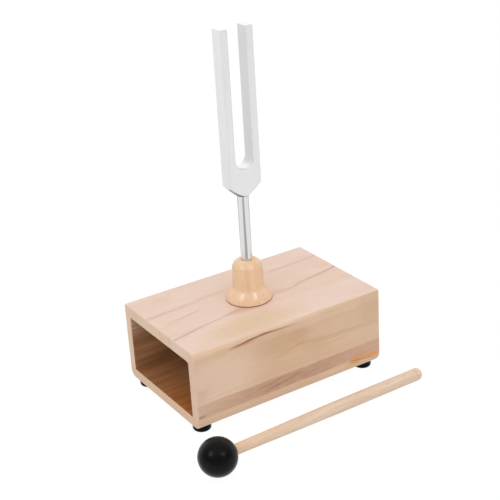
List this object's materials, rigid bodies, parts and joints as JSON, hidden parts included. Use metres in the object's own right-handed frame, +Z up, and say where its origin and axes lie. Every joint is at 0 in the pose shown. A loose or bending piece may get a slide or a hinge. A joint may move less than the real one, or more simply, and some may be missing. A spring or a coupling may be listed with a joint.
{
  "type": "tuning fork",
  "caption": "Tuning fork on a steel stem, standing in a turned wooden socket on an open-ended wooden resonance box, with a ball-headed striking mallet lying in front.",
  "frame": {"origin": "on the table, in the plane of the undersides of the four feet, straight below the axis of the fork's stem", "axes": "+Z up along the stem; +X along the box towards its closed end, which is also the direction the two tines are spaced in; -Y is the front, where the mallet lies"},
  "size_m": [0.2227, 0.1787, 0.3033],
  "materials": {
    "box_wood": "sanded, clear satin lacquer",
    "socket_wood": "turned, gloss lacquer",
    "handle_wood": "sanded, unvarnished",
    "foot_rubber": "matt moulded",
    "ball_rubber": "satin moulded",
    "fork_aluminium": "fine satin, machined",
    "stem_steel": "polished",
    "fastener_steel": "bright zinc plated"
  },
  "bodies": {
    "root": {"top_board": "box_wood", "bottom_board": "box_wood", "front_side_board": "box_wood", "back_side_board": "box_wood", "end_board": "box_wood", "foot_front_open": "foot_rubber", "foot_back_open": "foot_rubber", "foot_front_closed": "foot_rubber", "foot_back_closed": "foot_rubber", "foot_washers": "fastener_steel", "foot_screws": "fastener_steel", "bell_socket": "socket_wood", "socket_washer": "fastener_steel", "socket_screw": "fastener_steel"},
    "stem": {"fork_stem": "stem_steel"},
    "fork": {"fork_head": "fork_aluminium"},
    "mallet": {"mallet_handle": "handle_wood", "mallet_ball": "ball_rubber"}
  },
  "joints": [
    {"name": "fork_lift", "type": "slide", "parent": "root", "child": "stem", "axis": [0, 0, 1], "range_m": [0, 0.06]},
    {"name": "fork_turn", "type": "hinge", "parent": "stem", "child": "fork", "pos_m": [0, 0, 0.1665], "axis": [0, 0, 1], "continuous": true},
    {"name": "mallet_lift", "type": "slide", "parent": "root", "child": "mallet", "axis": [0, 0, 1], "range_m": [0, 0.1]}
  ]
}
